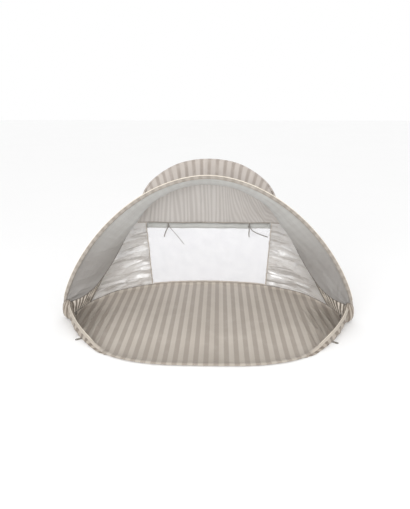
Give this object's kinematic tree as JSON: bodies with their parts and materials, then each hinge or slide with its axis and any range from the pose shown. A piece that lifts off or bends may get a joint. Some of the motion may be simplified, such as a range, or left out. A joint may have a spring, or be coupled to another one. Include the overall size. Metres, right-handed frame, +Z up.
{
  "type": "tarp shelter",
  "caption": "Low half-dome tarp shelter on crossed spring hoops, with an open front, striped floor and canopy, silver lining and a mesh rear window.",
  "frame": {"origin": "on the ground, midway between the two lower corners, below the line through the two hoop crossings", "axes": "+X to the right of someone looking in through the open front, +Y towards the rear wall, +Z up"},
  "size_m": [2.0526, 1.359, 1.0798],
  "materials": {
    "striped_fabric": "woven polyester, taupe and beige stripes",
    "silver_lining": "silver coated polyester, satin",
    "window_mesh": "fine white netting",
    "cream_tape": "cream woven binding",
    "taupe_tape": "taupe binding tape",
    "dark_webbing": "dark ribbed webbing",
    "spring_wire": "drawn spring steel",
    "ferrule_metal": "crimped tube",
    "eyelet_metal": "pressed eyelet, nickel"
  },
  "bodies": {
    "rear_floor": {"rear_floor_wire": "spring_wire", "outer_hoop_ferrule": "ferrule_metal", "rear_floor_sleeve": "striped_fabric", "rear_floor_panel": "striped_fabric", "corner_patch_left": "striped_fabric", "corner_patch_right": "striped_fabric"},
    "rear_arch": {"rear_arch_wire": "spring_wire", "rear_arch_sleeve": "striped_fabric", "rear_upper_panel": "silver_lining", "rear_side_panel_left": "silver_lining", "rear_side_panel_right": "silver_lining", "gusset_left": "striped_fabric", "gusset_right": "striped_fabric", "window_mesh": "window_mesh", "window_tape_left": "taupe_tape", "window_tape_right": "taupe_tape", "window_header_tape": "taupe_tape", "window_hem": "taupe_tape", "window_flap_roll": "silver_lining", "flap_tie_left": "dark_webbing", "flap_tie_right": "dark_webbing"},
    "front_arch": {"front_arch_wire": "spring_wire", "front_arch_sleeve": "striped_fabric", "front_arch_piping": "cream_tape", "canopy": "striped_fabric"},
    "front_floor": {"front_floor_wire": "spring_wire", "inner_hoop_ferrule": "ferrule_metal", "front_floor_binding": "cream_tape", "front_floor_panel": "striped_fabric", "corner_skirt_left": "striped_fabric", "corner_skirt_right": "striped_fabric"},
    "front_left_loop": {"peg_loop_front_left": "dark_webbing", "eyelet_front_left": "eyelet_metal"},
    "front_right_loop": {"peg_loop_front_right": "dark_webbing", "eyelet_front_right": "eyelet_metal"},
    "rear_left_loop": {"peg_loop_rear_left": "dark_webbing", "eyelet_rear_left": "eyelet_metal"},
    "rear_right_loop": {"peg_loop_rear_right": "dark_webbing", "eyelet_rear_right": "eyelet_metal"}
  },
  "joints": [
    {"name": "rear_arch_fold", "type": "hinge", "parent": "rear_floor", "child": "rear_arch", "pos_m": [0, 0, 0.1], "axis": [-1, 0, 0], "range_deg": [0, 60], "stiffness_Nm_per_rad": 40, "deforming": ["rear_upper_panel", "rear_side_panel_left", "rear_side_panel_right", "gusset_left", "gusset_right", "window_mesh", "window_tape_left", "window_tape_right", "window_header_tape", "window_hem", "window_flap_roll", "flap_tie_left", "flap_tie_right"]},
    {"name": "front_arch_fold", "type": "hinge", "parent": "rear_arch", "child": "front_arch", "pos_m": [0, 0, 0.1], "axis": [-1, 0, 0], "range_deg": [0, 16.8], "stiffness_Nm_per_rad": 10, "deforming": ["canopy"]},
    {"name": "front_floor_fold", "type": "hinge", "parent": "rear_floor", "child": "front_floor", "pos_m": [0, 0, 0.1], "axis": [-1, 0, 0], "range_deg": [0, 172]},
    {"name": "front_left_loop_tilt", "type": "hinge", "parent": "front_floor", "child": "front_left_loop", "pos_m": [-0.8189, -0.3183, 0.001], "axis": [-0.5779, 0.8161, 0], "range_deg": [0, 32]},
    {"name": "front_right_loop_tilt", "type": "hinge", "parent": "front_floor", "child": "front_right_loop", "pos_m": [0.8189, -0.3183, 0.001], "axis": [-0.5779, -0.8161, 0], "range_deg": [0, 32]},
    {"name": "rear_left_loop_tilt", "type": "hinge", "parent": "rear_floor", "child": "rear_left_loop", "pos_m": [-0.8144, 0.4208, 0.001], "axis": [0.5779, 0.8161, 0], "range_deg": [0, 75]},
    {"name": "rear_right_loop_tilt", "type": "hinge", "parent": "rear_floor", "child": "rear_right_loop", "pos_m": [0.8144, 0.4208, 0.001], "axis": [0.5779, -0.8161, 0], "range_deg": [0, 75]}
  ],
  "couplings": [
    {"joint": "front_arch_fold", "follows": "rear_arch_fold", "ratio": 0.28},
    {"joint": "front_floor_fold", "follows": "rear_arch_fold", "ratio": 2.8667}
  ]
}
